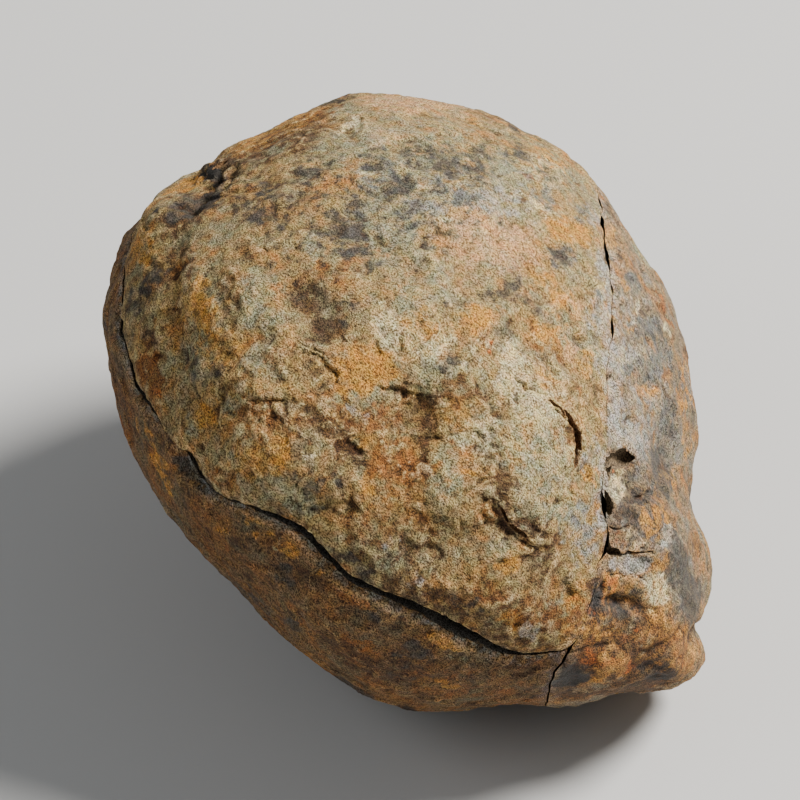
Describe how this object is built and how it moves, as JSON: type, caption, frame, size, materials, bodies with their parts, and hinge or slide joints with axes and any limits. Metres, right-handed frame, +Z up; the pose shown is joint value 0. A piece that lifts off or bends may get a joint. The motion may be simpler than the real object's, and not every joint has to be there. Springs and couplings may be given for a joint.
{
  "type": "fossil nodule",
  "caption": "Split ironstone nodule of the kind that closes round a fossil, fitted back together, with open cracks between its halves and end piece.",
  "frame": {"origin": "middle of the small flat spot that the nodule rests on", "axes": "+Z up; the domed face looks forward (-Y) and up at 45 degrees; +X is to the right of that face, toward the end piece"},
  "size_m": [0.0579, 0.0616, 0.05],
  "materials": {
    "upper_stone": "matte gritty crust, sandy tan and ochre with grey-green and slate patches",
    "lower_stone": "matte gritty crust, dark brown with rust and slate patches",
    "end_stone": "matte crust, brown, blue-grey and rust, with pale lilac cement along its broken edge"
  },
  "bodies": {
    "root": {"upper_half": "upper_stone", "lower_half": "lower_stone", "end_piece": "end_stone"}
  },
  "joints": []
}
